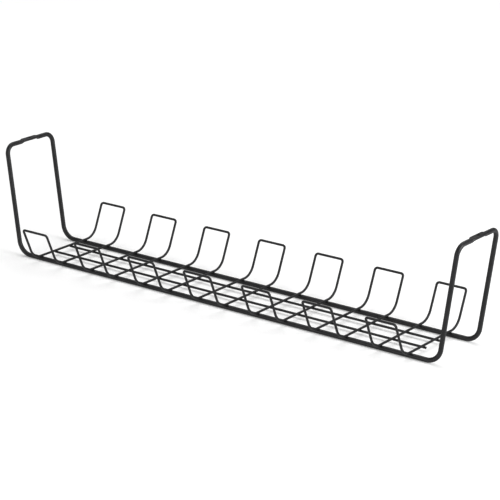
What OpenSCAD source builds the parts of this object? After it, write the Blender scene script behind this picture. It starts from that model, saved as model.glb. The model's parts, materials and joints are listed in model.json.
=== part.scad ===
// Under-desk cable tray, bent and welded from round steel wire.
// Units are millimetres and +Z is up. X runs along the tray, Y across it.
// The origin is at floor level under the middle of the tray, which stands on its frame wire.
// Every wire diameter is taken over its coating.

/* [Frame] */
// diameter of the heavy frame wire
frame_d = 5.8; // [5.4:0.1:6.2]
// distance between the two screw pads, from centre to centre
pad_span = 692; // [680:1:720]
// height from the centre of a bottom run to the centre of a top bar
frame_rise = 144; // [120:0.5:170]
// distance between the front and the rear bottom run, from centre to centre
frame_w = 86.5; // [84:0.5:88]
// outward lean of the end hoops from the vertical, in degrees
hoop_lean = 7.8; // [4:0.1:9]
// bend radius at the foot of a hoop, to the wire's centre
foot_r = 19; // [12:0.5:22]
// bend radius at a top corner of a hoop, to the wire's centre
crown_r = 12; // [10:0.5:16]

/* [Screw pads] */
// length of the flattened part of a top bar, without its shoulders
pad_len = 24; // [16:0.5:26]
// length of the shoulder between the round wire and the flat
shoulder_len = 4; // [3:0.5:4.5]
// width of the flat
pad_w = 8.6; // [8:0.1:9.6]
// thickness of the flat, whose top is level with the wire's top
pad_t = 3.4; // [3.2:0.1:3.6]
// diameter of the screw hole in the middle of the flat
hole_d = 4.2; // [3.4:0.1:4.6]

/* [Loops] */
// diameter of the thin wire of the loops and the long wires
rod_d = 2.9; // [2.6:0.1:3.2]
// distance from one loop to the next
loop_pitch = 89.3; // [80:0.1:90]
// distance between the two cross wires of one loop
loop_gap = 41; // [34:0.5:44]
// distance across the tray between the two top bars of one loop
loop_span = 155.4; // [150:0.1:158]
// height of a loop's top bars above its cross wires
loop_rise = 43.8; // [40:0.1:48]
// outward lean of a loop's legs from the vertical, in degrees
loop_lean = 22.9; // [18:0.1:24]
// bend radius from the cross wire into the leg
loop_foot_r = 20; // [14:0.5:22]
// bend radius at a top corner of a loop
loop_crown_r = 3.5; // [3:0.5:7]

/* [Long wires] */
// distance between the two long wires, from centre to centre
long_gap = 29.4; // [20:0.2:40]
// overhang of a long wire past the last cross wire
long_over = 3; // [2:0.5:12]
// depth to which two welded wires sink into each other
weld_sink = 0.15; // [0.1:0.05:0.3]
// bevel on the cut ends of a long wire
cut_bevel = 0.4; // [0.2:0.1:0.6]

/* [Hidden] */
loop_n = 7;
frame_fn = 22;
rod_fn = 16;
bend_fn = 32;
eps = 0.01;
// a straight reaches this far into a bend, whose wire is a hair thicker
lap = 0.3;
swell = 0.02;

// frame
frame_r = frame_d / 2;
run_z = frame_r;
bar_z = run_z + frame_rise;
corner_x = pad_span / 2 - frame_rise * tan(hoop_lean);
slant = frame_rise / cos(hoop_lean);
foot_turn = 90 - hoop_lean;
foot_cut = foot_r * tan(foot_turn / 2);
run_x = corner_x - foot_cut;
bar_half = frame_w / 2 - crown_r;

// pads
pad_half = pad_len / 2;
shoulder_half = pad_half + shoulder_len;
pad_z = bar_z + frame_r - pad_t / 2;
tuck = 0.4;
slim = 0.06;

// loops
rod_r = rod_d / 2;
cross_z = frame_d + rod_r - weld_sink;
leg_turn = 90 - loop_lean;
leg_cut = loop_foot_r * tan(leg_turn / 2);
knee_y = loop_span / 2 - loop_rise * tan(loop_lean);
flat_half = knee_y - leg_cut;
leg_slant = loop_rise / cos(loop_lean);
leg_len = leg_slant - leg_cut - loop_crown_r;
top_half = loop_gap / 2 - loop_crown_r;

// long wires
long_half = (loop_n - 1) / 2 * loop_pitch + loop_gap / 2 + long_over;
long_z = cross_z - rod_d + weld_sink;

wire_col = [0.11, 0.11, 0.12];

// a straight length of wire along +Z
module straight(len, r, fn) {
    cylinder(h = len, r = r, $fn = fn);
}

// a bend about +Z that starts on +X and turns towards +Y
module bend(bend_r, turn, r, fn) {
    rotate_extrude(angle = turn, $fn = bend_fn)
        translate([bend_r, 0])
            circle(r = r + swell, $fn = fn);
}

// a wire along Y between two points of its own axis
module along_y(y0, y1, r, fn) {
    translate([0, y0, 0])
        rotate([-90, 0, 0])
            straight(y1 - y0, r, fn);
}

// a wire along X, centred
module along_x(half, r, fn) {
    translate([-half, 0, 0])
        rotate([0, 90, 0])
            straight(2 * half, r, fn);
}

// outline of the flattened wire, width along X and thickness along Y
module flat_outline(w, t) {
    square([w - t, t], center = true);
    for (s = [-1, 1])
        translate([s * (w - t) / 2, 0])
            circle(r = t / 2, $fn = 20);
}

// the flattened middle of a top bar, lying along Y
module pad_flat() {
    translate([0, pad_half, pad_z])
        rotate([90, 0, 0])
            linear_extrude(height = pad_len)
                flat_outline(pad_w, pad_t);
}

// one shoulder, from the round wire down to the flat, on the +Y side
module pad_shoulder() {
    hull() {
        translate([0, shoulder_half + tuck, bar_z])
            rotate([90, 0, 0])
                cylinder(h = eps, r = frame_r - slim, $fn = frame_fn);
        translate([0, pad_half - tuck, pad_z])
            rotate([90, 0, 0])
                linear_extrude(height = eps)
                    flat_outline(pad_w - 2 * slim, pad_t - 2 * slim);
    }
}

// a top bar with its screw pad, on the wire's own X
module top_bar() {
    difference() {
        union() {
            for (s = [0, 1])
                mirror([0, s, 0]) {
                    translate([0, 0, bar_z])
                        along_y(shoulder_half, bar_half + lap, frame_r, frame_fn);
                    pad_shoulder();
                }
            pad_flat();
        }
        translate([0, 0, bar_z - frame_d])
            cylinder(h = 2 * frame_d, r = hole_d / 2, $fn = 32);
    }
}

// the foot bend of one upright, at the +X end
module foot_bend() {
    translate([run_x, 0, run_z + foot_r])
        rotate([0, 0, -90])
            rotate([0, 90, 0])
                bend(foot_r, foot_turn, frame_r, frame_fn);
}

// the leaning part of the +X hoop: two uprights and two top corners
module hoop() {
    translate([corner_x, 0, run_z])
        rotate([0, hoop_lean, 0])
            for (k = [0, 1]) {
                s = 1 - 2 * k;
                translate([0, s * frame_w / 2, foot_cut - lap])
                    straight(slant - foot_cut - crown_r + 2 * lap, frame_r, frame_fn);
                translate([0, s * bar_half, slant - crown_r])
                    rotate([90, 0, 90])
                        rotate([0, 0, 90 * k])
                            bend(crown_r, 90, frame_r, frame_fn);
            }
}

// the heavy wire frame: two bottom runs and a hoop at each end, one closed wire
module frame() {
    color(wire_col)
        union() {
            for (s = [-1, 1])
                translate([0, s * frame_w / 2, run_z])
                    along_x(run_x + lap, frame_r, frame_fn);
            for (a = [0, 180])
                rotate([0, 0, a]) {
                    for (s = [-1, 1])
                        translate([0, s * frame_w / 2, 0])
                            foot_bend();
                    hoop();
                    translate([pad_span / 2, 0, 0])
                        top_bar();
                }
        }
}

// one side of a loop at +Y: two foot bends, two legs, two top corners and the top bar
module loop_side() {
    for (s = [-1, 1])
        translate([s * loop_gap / 2, flat_half, cross_z + loop_foot_r])
            rotate([0, 90, 0])
                bend(loop_foot_r, leg_turn, rod_r, rod_fn);
    translate([0, knee_y, cross_z])
        rotate([-loop_lean, 0, 0]) {
            for (k = [0, 1]) {
                s = 1 - 2 * k;
                translate([s * loop_gap / 2, 0, leg_cut - lap])
                    straight(leg_len + 2 * lap, rod_r, rod_fn);
                translate([s * top_half, 0, leg_slant - loop_crown_r])
                    rotate([90, 0, 0])
                        rotate([0, 0, 90 * k])
                            bend(loop_crown_r, 90, rod_r, rod_fn);
            }
            translate([0, 0, leg_slant])
                along_x(top_half + lap, rod_r, rod_fn);
        }
}

// one closed loop of thin wire, number k from the -X end
module loop(k) {
    color(wire_col)
        translate([(k - (loop_n + 1) / 2) * loop_pitch, 0, 0])
            union() {
                for (s = [-1, 1])
                    translate([s * loop_gap / 2, 0, cross_z])
                        along_y(-flat_half - lap, flat_half + lap, rod_r, rod_fn);
                for (a = [0, 180])
                    rotate([0, 0, a])
                        loop_side();
            }
}

module loop_1() { loop(1); }

module loop_2() { loop(2); }

module loop_3() { loop(3); }

module loop_4() { loop(4); }

module loop_5() { loop(5); }

module loop_6() { loop(6); }

module loop_7() { loop(7); }

// a long wire under the cross wires, with bevelled cut ends
module long_wire(y) {
    color(wire_col)
        translate([0, y, long_z])
            union() {
                along_x(long_half - cut_bevel, rod_r, rod_fn);
                for (a = [-90, 90])
                    rotate([0, a, 0])
                        translate([0, 0, long_half - cut_bevel])
                            cylinder(h = cut_bevel, r1 = rod_r, r2 = rod_r - cut_bevel, $fn = rod_fn);
            }
}

module long_wire_front() { long_wire(-long_gap / 2); }

module long_wire_rear() { long_wire(long_gap / 2); }

frame();
loop_1();
loop_2();
loop_3();
loop_4();
loop_5();
loop_6();
loop_7();
long_wire_front();
long_wire_rear();
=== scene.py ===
"""Looks of the under-desk cable tray: wire meshes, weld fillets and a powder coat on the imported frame."""

import json
import math

import bmesh
import bpy
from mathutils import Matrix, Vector


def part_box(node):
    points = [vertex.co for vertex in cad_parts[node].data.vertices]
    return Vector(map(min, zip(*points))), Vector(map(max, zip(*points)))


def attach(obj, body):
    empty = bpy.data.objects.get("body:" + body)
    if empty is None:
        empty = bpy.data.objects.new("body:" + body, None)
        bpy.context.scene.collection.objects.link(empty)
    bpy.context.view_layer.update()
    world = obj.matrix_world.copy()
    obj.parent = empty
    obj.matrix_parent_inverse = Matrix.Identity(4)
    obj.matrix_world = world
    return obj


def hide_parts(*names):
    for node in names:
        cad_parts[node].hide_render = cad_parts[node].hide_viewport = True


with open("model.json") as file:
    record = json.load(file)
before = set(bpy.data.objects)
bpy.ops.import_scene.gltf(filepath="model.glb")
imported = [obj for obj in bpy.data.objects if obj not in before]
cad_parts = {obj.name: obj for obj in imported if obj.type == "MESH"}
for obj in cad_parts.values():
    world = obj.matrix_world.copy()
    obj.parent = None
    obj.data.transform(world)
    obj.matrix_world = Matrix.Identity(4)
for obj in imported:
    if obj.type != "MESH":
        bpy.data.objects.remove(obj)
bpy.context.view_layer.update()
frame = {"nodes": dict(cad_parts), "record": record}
scene = bpy.context.scene

# ---------------------------------------------------------------- sizes, in metres

MM = 0.001
LOOPS = [name for name in sorted(frame["nodes"]) if name.startswith("loop_")]
LONG_WIRES = [name for name in sorted(frame["nodes"]) if name.startswith("long_wire_")]
MOUNTS = {mount["name"]: mount for mount in frame["record"]["mounts"]}

frame_low, frame_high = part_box("frame")
loop_low, loop_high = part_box(LOOPS[0])
long_low, long_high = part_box(LONG_WIRES[0])

# heavy wire
FRAME_R = 2.9 * MM
FRAME_W = frame_high.y - frame_low.y - 2 * FRAME_R
RUN_Z = FRAME_R
BAR_Z = frame_high.z - FRAME_R
PAD_SPAN = MOUNTS["screw_pads"]["dims"]["spacing_x_mm"] * MM
HOOP_LEAN = math.radians(7.8)
FOOT_X = PAD_SPAN / 2 - (BAR_Z - RUN_Z) * math.tan(HOOP_LEAN)
FOOT_R = 19 * MM
CROWN_R = 12 * MM

# screw pads, the flattened middle of the two top bars
PAD_W = frame_high.x - frame_low.x - PAD_SPAN
PAD_T = 3.4 * MM
PAD_HALF = 12 * MM
SHOULDER = 4 * MM
HOLE_R = MOUNTS["screw_pads"]["dims"]["hole_r_mm"] * MM
HOLE_CHAMFER = 0.3 * MM
# above this height a point of the heavy wire's path lies on a straight top bar
ON_BAR_Z = BAR_Z - 0.01 * MM

# thin wire
ROD_R = (long_high.y - long_low.y) / 2
LOOP_GAP = loop_high.x - loop_low.x - 2 * ROD_R
LOOP_SPAN = loop_high.y - loop_low.y - 2 * ROD_R
CROSS_Z = loop_low.z + ROD_R
LOOP_RISE = 43.8 * MM
LOOP_LEAN = math.radians(22.9)
LOOP_FOOT_R = 20 * MM
LOOP_CROWN_R = 3.5 * MM
CUT_BEVEL = 0.4 * MM

# how finely the meshes follow the wire
FRAME_SIDES = 40
ROD_SIDES = 24
ARC_STEP = math.radians(4)
SMOOTH_UNDER = math.radians(40)


# ---------------------------------------------------------------- wire meshes

def new_piece(name, bm):
    """Makes an object of a bmesh, smooth but for its real edges, with its faces outward."""
    bmesh.ops.recalc_face_normals(bm, faces=bm.faces)
    mesh = bpy.data.meshes.new(name)
    bm.to_mesh(mesh)
    bm.free()
    mesh.shade_smooth()
    mesh.set_sharp_from_angle(angle=SMOOTH_UNDER)
    piece = bpy.data.objects.new(name, mesh)
    scene.collection.objects.link(piece)
    return piece


def rounded_path(corners, radii):
    """Points of a closed path through the corners, each rounded to its own radius."""
    points = []
    for i, corner in enumerate(corners):
        back = (corners[i - 1] - corner).normalized()
        ahead = (corners[(i + 1) % len(corners)] - corner).normalized()
        half = back.angle(ahead) / 2
        centre = corner + (back + ahead).normalized() * (radii[i] / math.sin(half))
        cut = radii[i] / math.tan(half)
        start = corner + back * cut - centre
        end = corner + ahead * cut - centre
        turn = start.angle(end)
        steps = round(turn / ARC_STEP)
        for k in range(steps + 1):
            away = math.sin(turn * (1 - k / steps)) / math.sin(turn)
            near = math.sin(turn * k / steps) / math.sin(turn)
            points.append(centre + start * away + end * near)
    return points


def round_outline(radius, sides):
    """Offsets of a round wire's outline from its axis, as a function for sweep."""
    turns = [2 * math.pi * k / sides for k in range(sides)]

    def outline(point, across, up):
        return [across * (radius * math.cos(a)) + up * (radius * math.sin(a)) for a in turns]

    return outline


def add_ring(bm, centre, radius, sides, across, up):
    """Adds the vertices of a round outline about a point and returns them."""
    outline = round_outline(radius, sides)
    return [bm.verts.new(centre + offset) for offset in outline(centre, across, up)]


def stitch(bm, rings, closed):
    """Joins neighbouring rings of vertices with four-sided faces."""
    pairs = zip(rings, rings[1:] + rings[:1]) if closed else zip(rings, rings[1:])
    for ring, after in pairs:
        for k in range(len(ring)):
            j = (k + 1) % len(ring)
            bm.faces.new((ring[k], ring[j], after[j], after[k]))


def sweep(name, points, outline):
    """A closed tube along the points, whose axes are carried along it without twisting."""
    bm = bmesh.new()
    rings = []
    across = Vector((0, 1, 0)) if abs((points[1] - points[0]).normalized().y) < 0.5 else Vector((1, 0, 0))
    for i, point in enumerate(points):
        tangent = (points[(i + 1) % len(points)] - points[i - 1]).normalized()
        across = (across - tangent * across.dot(tangent)).normalized()
        up = tangent.cross(across)
        rings.append([bm.verts.new(point + offset) for offset in outline(point, across, up)])
    stitch(bm, rings, closed=True)
    return new_piece(name, bm)


# ---------------------------------------------------------------- the heavy frame

def flat_wire(share):
    """The flattened wire's outline a share of the way round from its top, as (out to the side, up)."""
    flat = PAD_W - PAD_T
    edge = math.pi * PAD_T / 2
    way = share * 2 * (flat + edge)
    if way < flat / 2:
        return way, PAD_T / 2
    way -= flat / 2
    for side in (1, -1):
        if way < edge:
            turn = way / (PAD_T / 2)
            return side * (flat / 2 + PAD_T / 2 * math.sin(turn)), side * PAD_T / 2 * math.cos(turn)
        way -= edge
        if way < flat:
            return side * (flat / 2 - way), -side * PAD_T / 2
        way -= flat
    return 0, PAD_T / 2


def frame_outline(point, across, up):
    """Round wire, pressed flat in the middle of each top bar with the tops of both level."""
    rounds = round_outline(FRAME_R, FRAME_SIDES)(point, across, up)
    flatness = (PAD_HALF + SHOULDER - abs(point.y)) / SHOULDER
    if point.z < ON_BAR_Z or flatness <= 0:
        return rounds
    flatness = min(1, flatness)
    flatness = flatness * flatness * (3 - 2 * flatness)
    lift = Vector((0, 0, (FRAME_R - PAD_T / 2) * flatness))
    offsets = []
    for wire in rounds:
        share = math.atan2(wire.x, wire.z) / (2 * math.pi) % 1
        side, height = flat_wire(share)
        offsets.append(wire.lerp(Vector((side, 0, height)), flatness) + lift)
    return offsets


def with_bar_stations(points):
    """Adds points along the two top bars, close together where the wire flattens."""
    shoulder_steps = 8
    steps = [PAD_HALF + SHOULDER * k / shoulder_steps for k in range(shoulder_steps + 1)]
    places = [-y for y in reversed(steps)] + steps
    full = []
    for i, point in enumerate(points):
        full.append(point)
        after = points[(i + 1) % len(points)]
        if min(point.z, after.z) > ON_BAR_Z and point.y * after.y < 0:
            direction = math.copysign(1, after.y)
            full += [Vector((point.x, direction * y, point.z)) for y in places]
    return full


def hole_cutter(x):
    """A drill through a pad at x, flared at both faces so that the hole has broken edges."""
    bm = bmesh.new()
    top = BAR_Z + FRAME_R
    beyond = 1 * MM
    levels = [
        (top - PAD_T - beyond, HOLE_R + HOLE_CHAMFER + beyond),
        (top - PAD_T + HOLE_CHAMFER, HOLE_R),
        (top - HOLE_CHAMFER, HOLE_R),
        (top + beyond, HOLE_R + HOLE_CHAMFER + beyond),
    ]
    across, up = Vector((1, 0, 0)), Vector((0, 1, 0))
    rings = [add_ring(bm, Vector((x, 0, z)), radius, FRAME_SIDES, across, up) for z, radius in levels]
    stitch(bm, rings, closed=False)
    bm.faces.new(rings[0])
    bm.faces.new(rings[-1])
    return new_piece("cutter", bm)


def drill(piece, x):
    """Cuts a screw hole through the piece and removes the cutter."""
    cutter = hole_cutter(x)
    cut = piece.modifiers.new("hole", "BOOLEAN")
    cut.operation = "DIFFERENCE"
    cut.solver = "EXACT"
    cut.object = cutter
    bpy.context.view_layer.update()
    drilled = bpy.data.meshes.new_from_object(piece.evaluated_get(bpy.context.evaluated_depsgraph_get()))
    piece.modifiers.clear()
    piece.data = drilled
    piece.data.set_sharp_from_angle(angle=SMOOTH_UNDER)
    bpy.data.objects.remove(cutter)


def make_frame():
    """One closed bent wire: two bottom runs and a leaning hoop at each end."""
    front, rear = -FRAME_W / 2, FRAME_W / 2
    top, foot = PAD_SPAN / 2, FOOT_X
    corners = [
        Vector((-top, front, BAR_Z)), Vector((-foot, front, RUN_Z)),
        Vector((foot, front, RUN_Z)), Vector((top, front, BAR_Z)),
        Vector((top, rear, BAR_Z)), Vector((foot, rear, RUN_Z)),
        Vector((-foot, rear, RUN_Z)), Vector((-top, rear, BAR_Z)),
    ]
    radii = [CROWN_R, FOOT_R, FOOT_R, CROWN_R] * 2
    piece = sweep("frame_wire", with_bar_stations(rounded_path(corners, radii)), frame_outline)
    for x in (-PAD_SPAN / 2, PAD_SPAN / 2):
        drill(piece, x)
    return piece


# ---------------------------------------------------------------- the thin wires

def make_loop(node):
    """One closed loop: two cross wires, bent up outside the frame and closed by a bar on each side."""
    low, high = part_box(node)
    left, right = low.x + ROD_R, high.x - ROD_R
    top_y = LOOP_SPAN / 2
    knee_y = top_y - LOOP_RISE * math.tan(LOOP_LEAN)
    top_z = CROSS_Z + LOOP_RISE
    corners = [
        Vector((left, -top_y, top_z)), Vector((left, -knee_y, CROSS_Z)),
        Vector((left, knee_y, CROSS_Z)), Vector((left, top_y, top_z)),
        Vector((right, top_y, top_z)), Vector((right, knee_y, CROSS_Z)),
        Vector((right, -knee_y, CROSS_Z)), Vector((right, -top_y, top_z)),
    ]
    radii = [LOOP_CROWN_R, LOOP_FOOT_R, LOOP_FOOT_R, LOOP_CROWN_R] * 2
    return sweep(node + "_wire", rounded_path(corners, radii), round_outline(ROD_R, ROD_SIDES))


def make_long_wire(node):
    """A straight thin wire with rounded edges at its cut ends."""
    low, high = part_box(node)
    y, z = (low.y + high.y) / 2, (low.z + high.z) / 2
    bm = bmesh.new()
    bevel_steps = 3
    turns = [math.pi / 2 * k / bevel_steps for k in range(bevel_steps + 1)]
    ends = [(CUT_BEVEL * (1 - math.cos(turn)), CUT_BEVEL * (1 - math.sin(turn))) for turn in turns]
    stations = [(low.x + inset, ROD_R - drop) for inset, drop in ends]
    stations += [(high.x - inset, ROD_R - drop) for inset, drop in reversed(ends)]
    across, up = Vector((0, 1, 0)), Vector((0, 0, 1))
    rings = [add_ring(bm, Vector((x, y, z)), radius, ROD_SIDES, across, up) for x, radius in stations]
    stitch(bm, rings, closed=False)
    bm.faces.new(rings[0])
    bm.faces.new(rings[-1])
    return new_piece(node + "_rod", bm)


# ---------------------------------------------------------------- weld fillets

def add_fillet(bm, x, y, low_z, low_r, mouth):
    """Weld metal and coat around one crossing: a waisted collar from the wire along X up to the other."""
    apart = CROSS_Z - low_z
    sides = 24
    halvings = 30
    levels = [0, 0.25, 0.5, 0.75, 1]
    waist = 0.35 * mouth
    sink = 0.06 * MM

    def heights(dx, dy):
        lower = low_z + math.sqrt(max(0, low_r ** 2 - dy ** 2))
        upper = CROSS_Z - math.sqrt(max(0, ROD_R ** 2 - dx ** 2))
        return lower, upper

    def reach(angle):
        """How far out the gap between the two wires has opened to the mouth."""
        near, far = 0, low_r + ROD_R
        for _ in range(halvings):
            mid = (near + far) / 2
            lower, upper = heights(mid * math.cos(angle), mid * math.sin(angle))
            near, far = (mid, far) if upper - lower < mouth else (near, mid)
        return near

    rings = [[] for _ in levels]
    for k in range(sides):
        angle = 2 * math.pi * k / sides
        out = reach(angle)
        lower, upper = heights(out * math.cos(angle), out * math.sin(angle))
        for ring, level in zip(rings, levels):
            radius = out - waist * (1 - (2 * level - 1) ** 2)
            z = lower - sink + (upper - lower + 2 * sink) * level
            ring.append(bm.verts.new((x + radius * math.cos(angle), y + radius * math.sin(angle), z)))
    stitch(bm, rings, closed=False)
    for ring, z in ((rings[0], low_z + low_r - apart / 4), (rings[-1], CROSS_Z - ROD_R + apart / 4)):
        middle = bm.verts.new((x, y, z))
        for k in range(sides):
            bm.faces.new((ring[k], ring[(k + 1) % sides], middle))


def make_fillets(name, rows, low_z, low_r, mouth):
    """Fillets where every cross wire passes over the wires at the given rows in Y."""
    bm = bmesh.new()
    for node in LOOPS:
        low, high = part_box(node)
        for x in (low.x + ROD_R, high.x - ROD_R):
            for y in rows:
                add_fillet(bm, x, y, low_z, low_r, mouth)
    return new_piece(name, bm)


# ---------------------------------------------------------------- the coat

def black_coat():
    """Satin black powder coat: a fine orange peel, slightly uneven gloss and a faintly mottled tone."""
    material = bpy.data.materials.new("black_powder_coat")
    material.use_nodes = True
    nodes, links = material.node_tree.nodes, material.node_tree.links
    shader = nodes["Principled BSDF"]
    shader.inputs["IOR"].default_value = 1.5
    shader.inputs["Specular IOR Level"].default_value = 0.5
    place = nodes.new("ShaderNodeTexCoord")

    def noise(scale, detail):
        texture = nodes.new("ShaderNodeTexNoise")
        texture.inputs["Scale"].default_value = scale
        texture.inputs["Detail"].default_value = detail
        links.new(place.outputs["Object"], texture.inputs["Vector"])
        return texture.outputs["Fac"]

    def ramp(source, stops):
        blend = nodes.new("ShaderNodeValToRGB")
        for element, (position, colour) in zip(blend.color_ramp.elements, stops):
            element.position = position
            element.color = (*colour, 1)
        links.new(source, blend.inputs["Fac"])
        return blend.outputs["Color"]

    tone = ramp(noise(90, 4), [(0.35, (0.020, 0.020, 0.021)), (0.7, (0.032, 0.032, 0.034))])
    links.new(tone, shader.inputs["Base Color"])

    gloss = nodes.new("ShaderNodeMapRange")
    gloss.inputs["To Min"].default_value = 0.38
    gloss.inputs["To Max"].default_value = 0.5
    links.new(noise(400, 3), gloss.inputs["Value"])
    links.new(gloss.outputs["Result"], shader.inputs["Roughness"])

    peel = nodes.new("ShaderNodeBump")
    peel.inputs["Strength"].default_value = 0.35
    peel.inputs["Distance"].default_value = 0.06 * MM
    links.new(noise(1400, 2), peel.inputs["Height"])
    links.new(peel.outputs["Normal"], shader.inputs["Normal"])
    return material


# ---------------------------------------------------------------- the object

coat = black_coat()


def dress(piece, *nodes):
    """Coats the piece, lets it ride on the one rigid body and hides the CAD nodes it stands for."""
    piece.data.materials.clear()
    piece.data.materials.append(coat)
    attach(piece, "root")
    if nodes:
        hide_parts(*nodes)


dress(make_frame(), "frame")
for name in LOOPS:
    dress(make_loop(name), name)
for name in LONG_WIRES:
    dress(make_long_wire(name), name)

long_rows = [(low.y + high.y) / 2 for low, high in map(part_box, LONG_WIRES)]
long_z = (long_low.z + long_high.z) / 2
dress(make_fillets("weld_fillets_frame", (-FRAME_W / 2, FRAME_W / 2), RUN_Z, FRAME_R, 0.7 * MM))
dress(make_fillets("weld_fillets_long", long_rows, long_z, ROD_R, 0.5 * MM))


# ---------------------------------------------------------------- studio

def make_floor():
    """A plain pale light table, reaching far past the tray, whose glow softens the shadows."""
    bm = bmesh.new()
    half = 6
    bm.faces.new([bm.verts.new((x * half, y * half, 0)) for x, y in ((-1, -1), (1, -1), (1, 1), (-1, 1))])
    floor = new_piece("floor", bm)
    material = bpy.data.materials.new("pale_floor")
    material.use_nodes = True
    shader = material.node_tree.nodes["Principled BSDF"]
    shader.inputs["Base Color"].default_value = (0.65, 0.65, 0.65, 1)
    shader.inputs["Roughness"].default_value = 0.9
    shader.inputs["Specular IOR Level"].default_value = 0.1
    shader.inputs["Emission Color"].default_value = (1, 1, 1, 1)
    shader.inputs["Emission Strength"].default_value = 0.32
    floor.data.materials.append(material)


def aim(thing, target):
    """Turns a lamp or camera so that it looks at the target."""
    thing.rotation_euler = (Vector(target) - thing.location).to_track_quat("-Z", "Y").to_euler()


def soft_light(name, place, target, size, power):
    """A round area lamp, its place, target and size in metres and its power in watts."""
    lamp = bpy.data.lights.new(name, "AREA")
    lamp.shape = "DISK"
    lamp.size = size
    lamp.energy = power
    thing = bpy.data.objects.new(name, lamp)
    thing.location = place
    scene.collection.objects.link(thing)
    aim(thing, target)


def make_camera():
    """The photograph's viewpoint: from the front right, a little above, with a long lens."""
    target = Vector((22.96, 0, 66.18)) * MM
    azimuth, elevation, roll = math.radians(36.965), math.radians(18.337), math.radians(0.237)
    distance = 2.4218
    data = bpy.data.cameras.new("camera")
    data.sensor_width = 36
    data.lens = 140.74
    data.clip_end = 50
    camera = bpy.data.objects.new("camera", data)
    flat = math.cos(elevation)
    away = Vector((math.sin(azimuth) * flat, -math.cos(azimuth) * flat, math.sin(elevation)))
    camera.location = target + away * distance
    scene.collection.objects.link(camera)
    aim(camera, target)
    camera.rotation_euler.rotate_axis("Z", roll)
    scene.camera = camera


def set_display():
    """No film curve, so that white stays white, and a gamma that keeps thin wires dark on the white floor."""
    scene.view_settings.view_transform = "Standard"
    scene.view_settings.gamma = 0.75


def make_world():
    """An even, dim white surround."""
    world = bpy.data.worlds.new("studio")
    world.use_nodes = True
    background = world.node_tree.nodes["Background"]
    background.inputs["Color"].default_value = (1, 1, 1, 1)
    background.inputs["Strength"].default_value = 0.3
    scene.world = world


make_camera()
make_floor()
make_world()
set_display()
soft_light("overhead", place=(-1.0, 1.6, 3.0), target=(-1.0, 1.6, 0), size=4.6, power=100)
soft_light("right", place=(2.2, 0.2, 0.8), target=(0, 0, 0.07), size=1.3, power=46)
soft_light("front", place=(-0.5, -2.4, 0.7), target=(0, 0, 0.05), size=1.5, power=22)
